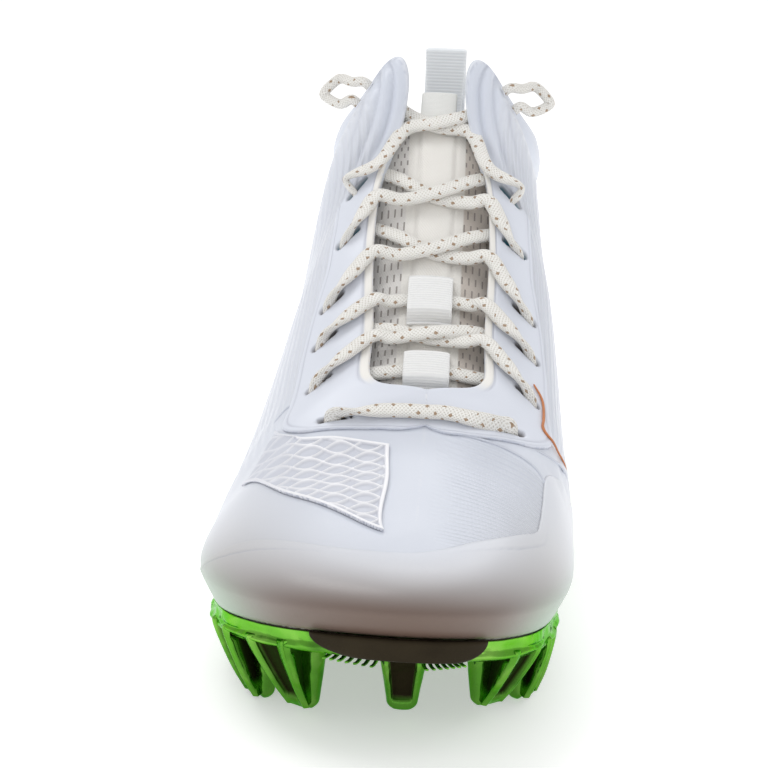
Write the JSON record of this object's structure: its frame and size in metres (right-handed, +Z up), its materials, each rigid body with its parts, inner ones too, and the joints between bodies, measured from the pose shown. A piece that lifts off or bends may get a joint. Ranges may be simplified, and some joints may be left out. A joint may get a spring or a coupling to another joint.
{
  "type": "american football cleat",
  "caption": "Mid-cut right-foot american football cleat: hollow upper with laced throat, tongue and heel pull loop, on a moulded plate with studs, standing empty.",
  "frame": {"origin": "on the floor, under the middle of the shoe's box without its lace loops", "axes": "+Z up, toe towards -Y, heel towards +Y, medial side towards +X"},
  "size_m": [0.104, 0.3002, 0.1593],
  "materials": {
    "upper_film": "white and pale grey coated synthetic, satin, embossed",
    "tongue_mesh": "perforated warm grey mesh",
    "webbing": "ribbed pale webbing",
    "lace": "flat braided white lace with tan specks",
    "insole_foam": "dark grey brushed textile over foam",
    "green_chrome": "mirror-like green plated moulding",
    "dark_plate": "black glossy moulding"
  },
  "bodies": {
    "root": {"upper": "upper_film", "eyestay": "upper_film", "toe_cap": "upper_film", "tongue": "tongue_mesh", "tongue_tab": "webbing", "lace_keeper_lower": "webbing", "lace_keeper_upper": "webbing", "lace_bar": "lace", "lace_bar_inner": "lace", "lace_crossing_1": "lace", "lace_crossing_2": "lace", "lace_crossing_3": "lace", "lace_crossing_4": "lace", "lace_crossing_5": "lace", "lace_loop_lateral": "lace", "lace_loop_medial": "lace", "heel_pull_tab": "webbing", "insole": "insole_foam", "outsole_plate": "green_chrome", "toe_insert": "dark_plate", "stud_toe": "green_chrome", "stud_lateral_1": "green_chrome", "stud_lateral_2": "green_chrome", "stud_lateral_3": "green_chrome", "stud_lateral_4": "green_chrome", "stud_lateral_5": "green_chrome", "stud_medial_1": "green_chrome", "stud_medial_2": "green_chrome", "stud_medial_3": "green_chrome", "stud_medial_4": "green_chrome", "stud_heel_lateral_1": "green_chrome", "stud_heel_lateral_2": "green_chrome", "stud_heel_medial_1": "green_chrome", "stud_heel_medial_2": "green_chrome"}
  },
  "joints": []
}
